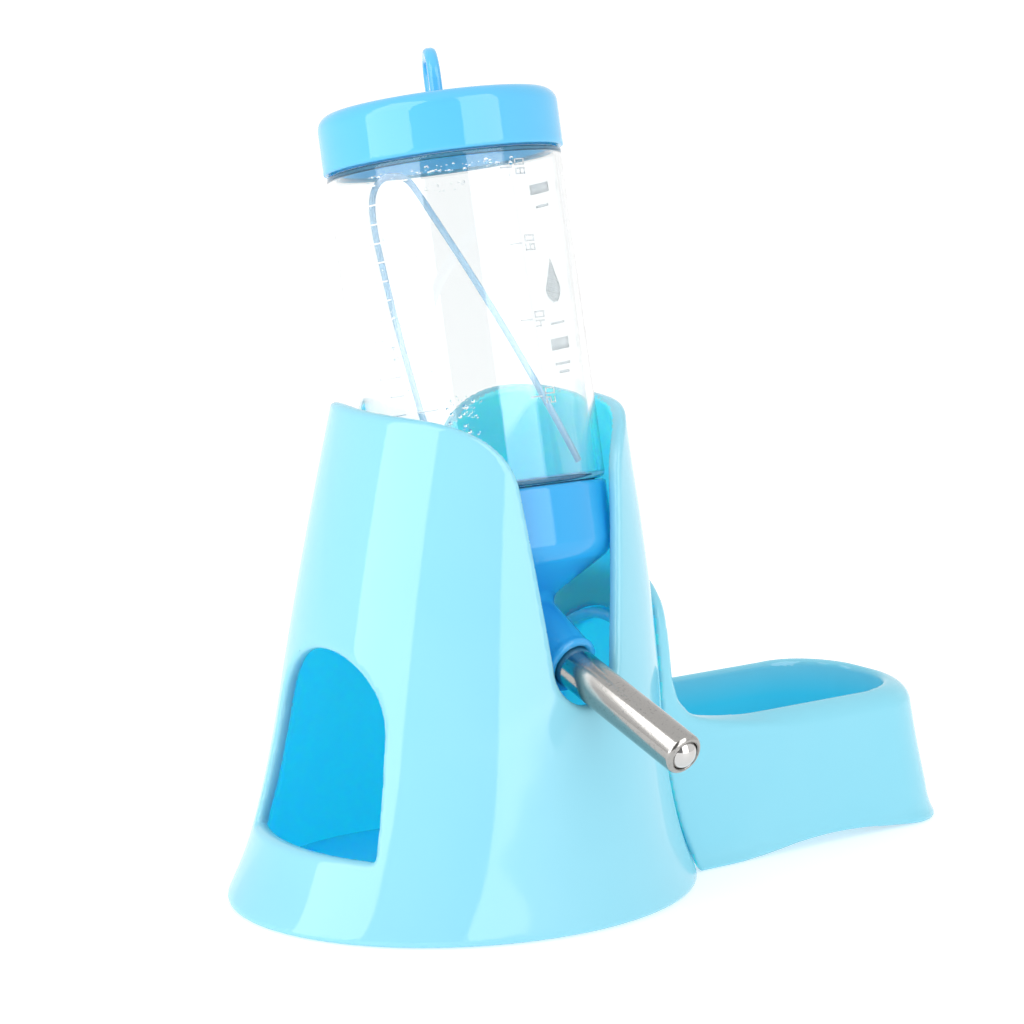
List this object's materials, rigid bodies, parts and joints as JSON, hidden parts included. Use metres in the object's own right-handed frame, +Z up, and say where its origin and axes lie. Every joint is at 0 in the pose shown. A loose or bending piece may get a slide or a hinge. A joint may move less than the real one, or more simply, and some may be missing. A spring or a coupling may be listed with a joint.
{
  "type": "small-pet drinking station",
  "caption": "Oval hut stand holding a leaning clear water bottle with an angled ball-tipped drinking tube, and a plug-in food bowl on one side.",
  "frame": {"origin": "centre of the stand's foot, on the ground", "axes": "+Z up, -Y the way the drinking tube points, +X towards the food bowl"},
  "size_m": [0.1707, 0.1008, 0.1612],
  "materials": {
    "stand_plastic": "gloss moulded, light sky blue",
    "bowl_plastic": "gloss moulded, light sky blue",
    "clear_plastic": "clear moulded plastic, polished",
    "cap_plastic": "gloss moulded, sky blue, slightly translucent",
    "head_plastic": "satin gloss moulded, deeper blue",
    "silicone": "milky silicone",
    "seal_rubber": "matte black",
    "steel": "drawn and polished",
    "ball_steel": "polished",
    "tie_plastic": "clear, faintly blue cord"
  },
  "bodies": {
    "stand": {"stand_shell": "stand_plastic", "floor_plate": "stand_plastic"},
    "bowl": {"food_bowl": "bowl_plastic"},
    "head": {"spout_head": "head_plastic", "drinking_tube": "steel", "tube_seal": "seal_rubber"},
    "gasket": {"neck_gasket": "silicone"},
    "bottle": {"bottle_tube": "clear_plastic", "tie_cord": "tie_plastic"},
    "cap_ring": {"cap_seal": "silicone"},
    "cap": {"top_cap": "cap_plastic"},
    "tip": {"tip_ball": "ball_steel"},
    "check": {"check_ball": "ball_steel"}
  },
  "joints": [
    {"name": "bowl_pull", "type": "slide", "parent": "stand", "child": "bowl", "axis": [1, 0, 0], "range_m": [0, 0.03]},
    {"name": "bottle_lift", "type": "slide", "parent": "stand", "child": "head", "axis": [0, 0.2434, 0.9699], "range_m": [0, 0.09]},
    {"name": "neck_rise", "type": "slide", "parent": "head", "child": "gasket", "axis": [0, 0.2434, 0.9699], "range_m": [0, 0.0045]},
    {"name": "bottle_turn", "type": "hinge", "parent": "gasket", "child": "bottle", "pos_m": [0, -0.00369, 0.07784], "axis": [0, 0.2434, 0.9699], "range_deg": [0, 541]},
    {"name": "cap_rise", "type": "slide", "parent": "bottle", "child": "cap_ring", "axis": [0, 0.2434, 0.9699], "range_m": [0, 0.0045]},
    {"name": "cap_turn", "type": "hinge", "parent": "cap_ring", "child": "cap", "pos_m": [0, -0.00369, 0.07784], "axis": [0, 0.2434, 0.9699], "range_deg": [0, 541]},
    {"name": "tip_press", "type": "slide", "parent": "head", "child": "tip", "axis": [0, 0.9433, 0.3318], "range_m": [0, 0.0012]},
    {"name": "check_press", "type": "slide", "parent": "head", "child": "check", "axis": [0, 0.9433, 0.3318], "range_m": [0, 0.0012]}
  ],
  "couplings": [
    {"joint": "bottle_turn", "follows": "neck_rise", "rad_per_m": 2094.4},
    {"joint": "cap_turn", "follows": "cap_rise", "rad_per_m": 2094.4},
    {"joint": "check_press", "follows": "tip_press", "ratio": 1}
  ]
}
